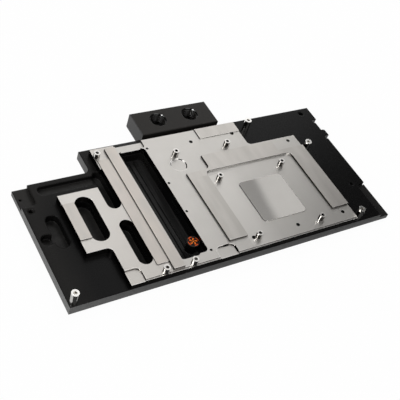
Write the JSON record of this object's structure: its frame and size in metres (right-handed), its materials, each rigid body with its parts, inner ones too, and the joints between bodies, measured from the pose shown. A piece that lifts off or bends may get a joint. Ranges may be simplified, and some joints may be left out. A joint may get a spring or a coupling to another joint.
{
  "type": "liquid cooling cold plate",
  "caption": "Full-cover liquid cooling block for a graphics card: stepped nickel-plated plate on a black cover, with a terminal with two threaded ports.",
  "frame": {"origin": "centre of the processor's square of standoffs, on the block's outer resting face", "axes": "+X along the card from the lower arm towards the processor's end, +Y across the card towards the terminal, +Z from the outer face towards the circuit board"},
  "size_m": [0.2773, 0.1494, 0.0184],
  "materials": {
    "nickel": "satin, fine milled",
    "acetal": "matte milled",
    "terminal": "matte milled",
    "seal": "smooth",
    "screw_steel": "black oxide",
    "standoff": "bright turned",
    "badge": "satin"
  },
  "bodies": {
    "root": {"cover": "acetal", "cold_plate": "nickel", "terminal_block": "terminal", "plate_seal": "seal", "port_seals": "seal", "plate_screws": "screw_steel", "window_screws": "screw_steel", "terminal_screws": "screw_steel", "square_standoffs": "standoff", "plate_standoffs": "standoff", "cover_posts": "standoff", "badge": "badge"}
  },
  "joints": []
}
